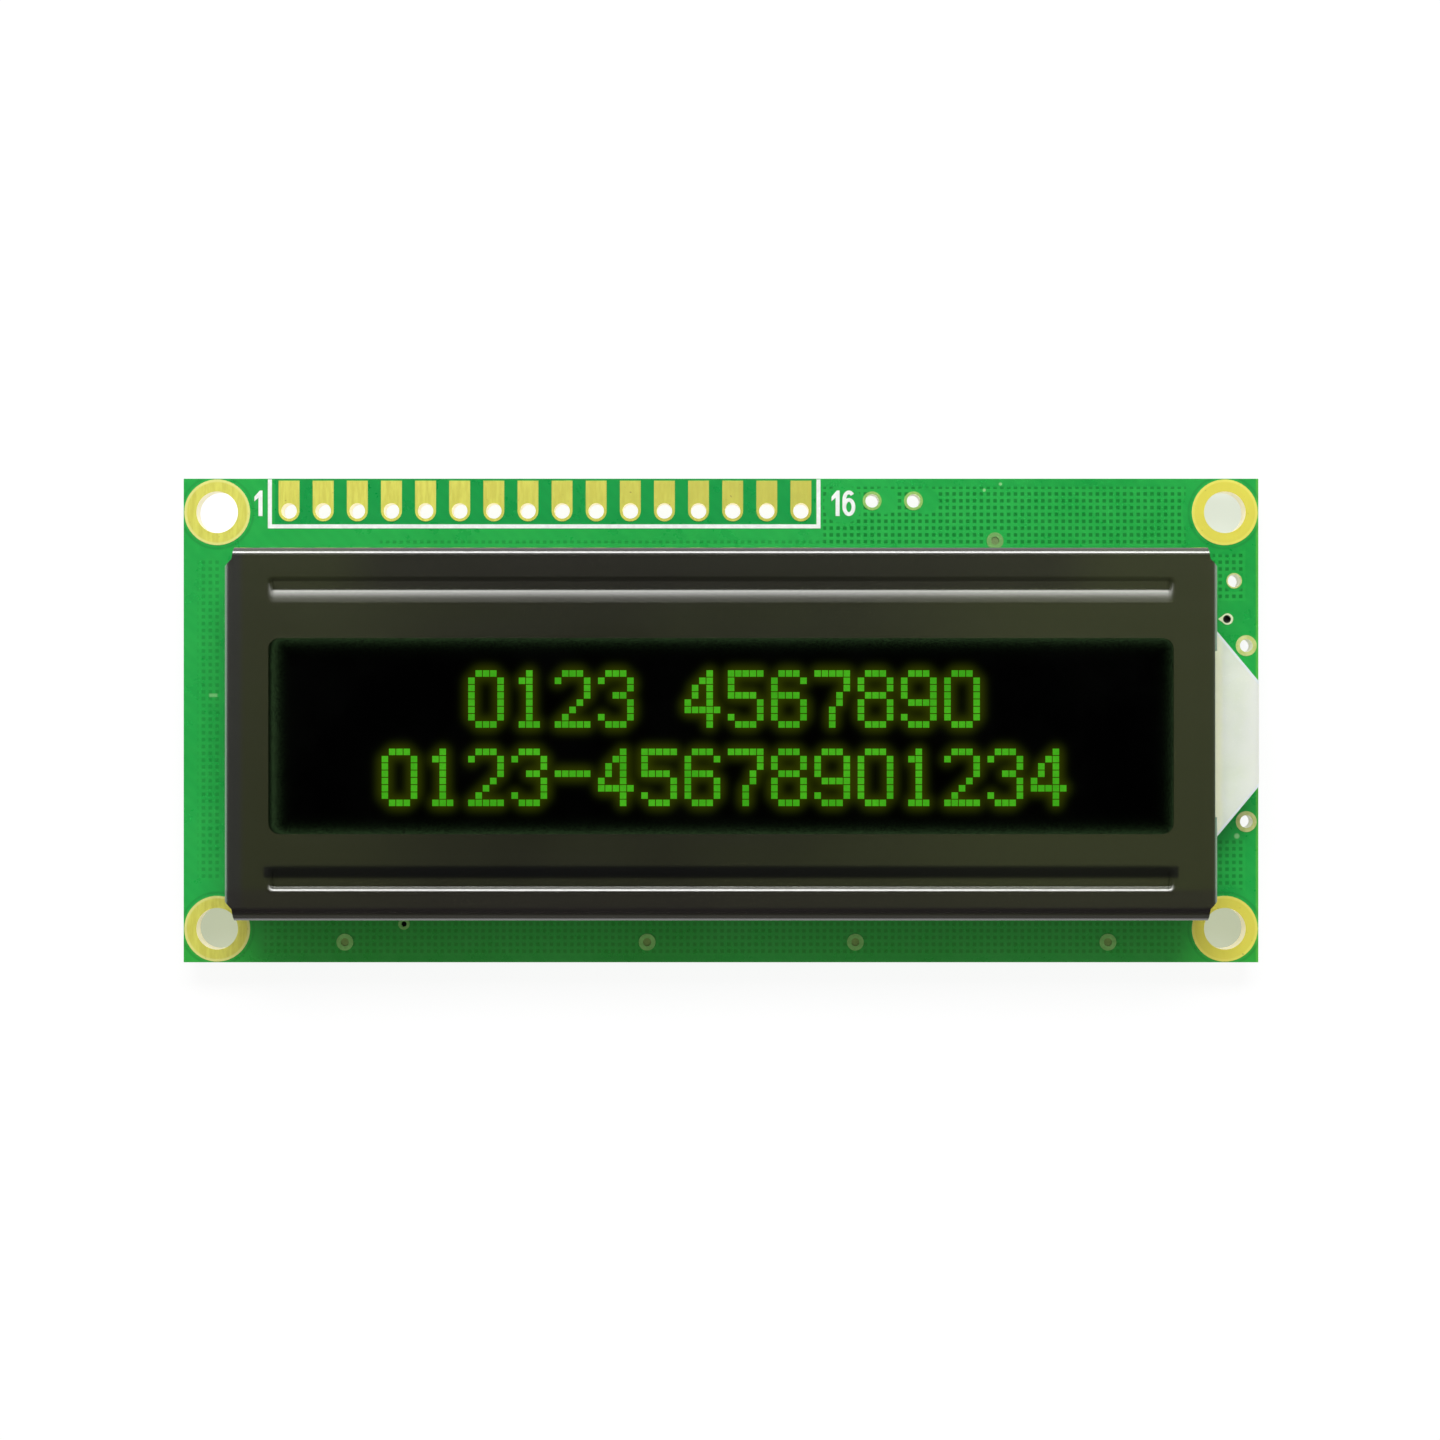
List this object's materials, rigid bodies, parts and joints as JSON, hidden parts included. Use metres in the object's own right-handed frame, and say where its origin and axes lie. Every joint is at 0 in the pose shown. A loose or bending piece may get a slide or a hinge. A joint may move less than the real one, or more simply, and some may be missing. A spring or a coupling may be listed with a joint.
{
  "type": "character lcd module",
  "caption": "Two-line character display in a folded steel bezel on a circuit board with a row of solder pads, corner mounting holes and an edge-lit backlight.",
  "frame": {"origin": "middle of the board's outline, at the level of the tips of the bezel's lugs, on which the module lies face up", "axes": "+X along the row of connection pads away from pad 1, +Y towards the long edge that carries the pads, +Z out of the display's face"},
  "size_m": [0.08, 0.036, 0.0102],
  "materials": {
    "solder_mask": "green lacquer over glass-epoxy laminate",
    "gold_plating": "thin gold over copper",
    "bezel_steel": "olive-black satin coating on steel sheet",
    "polarizer_film": "near-black polarising film, semi-gloss",
    "cell_glass": "polished float glass",
    "electrodes": "thin transparent conductive oxide",
    "liquid_crystal": "thin dark fluid film",
    "seal_resin": "cured sealing resin",
    "white_film": "white reflecting and diffusing film",
    "light_guide": "milky clear acrylic",
    "lamp_resin": "cast lamp resin",
    "tin": "tinned leads and solder",
    "contact_rubber": "layered conductive and plain silicone rubber",
    "silicon": "bare chip",
    "potting_resin": "black potting resin, slightly uneven gloss",
    "resistor_body": "black glazed chip with tinned ends",
    "capacitor_body": "tan ceramic chip with tinned ends"
  },
  "bodies": {
    "root": {"board": "solder_mask", "mounting_rings": "gold_plating", "connection_pads": "gold_plating", "spare_pads": "gold_plating", "side_pads": "gold_plating", "plated_vias": "gold_plating", "contact_fingers_upper": "gold_plating", "contact_fingers_lower": "gold_plating", "jumper_pads": "gold_plating", "bezel": "bezel_steel", "front_polarizer": "polarizer_film", "front_glass": "cell_glass", "segment_electrodes": "electrodes", "liquid_crystal": "liquid_crystal", "common_electrodes": "electrodes", "edge_seal": "seal_resin", "fill_plug": "seal_resin", "rear_glass": "cell_glass", "rear_polarizer": "polarizer_film", "diffuser_film": "white_film", "light_guide": "light_guide", "reflector_film": "white_film", "backlight_lamp": "lamp_resin", "lamp_leads": "tin", "lamp_solder": "tin", "contact_strip_upper": "contact_rubber", "contact_strip_lower": "contact_rubber", "controller_chip": "silicon", "driver_chip": "silicon", "controller_dome": "potting_resin", "driver_dome": "potting_resin", "resistor_1": "resistor_body", "resistor_2": "resistor_body", "resistor_3": "resistor_body", "resistor_4": "resistor_body", "resistor_5": "resistor_body", "resistor_6": "resistor_body", "resistor_7": "resistor_body", "resistor_8": "resistor_body", "resistor_9": "resistor_body", "capacitor_1": "capacitor_body", "capacitor_2": "capacitor_body", "capacitor_3": "capacitor_body"}
  },
  "joints": []
}
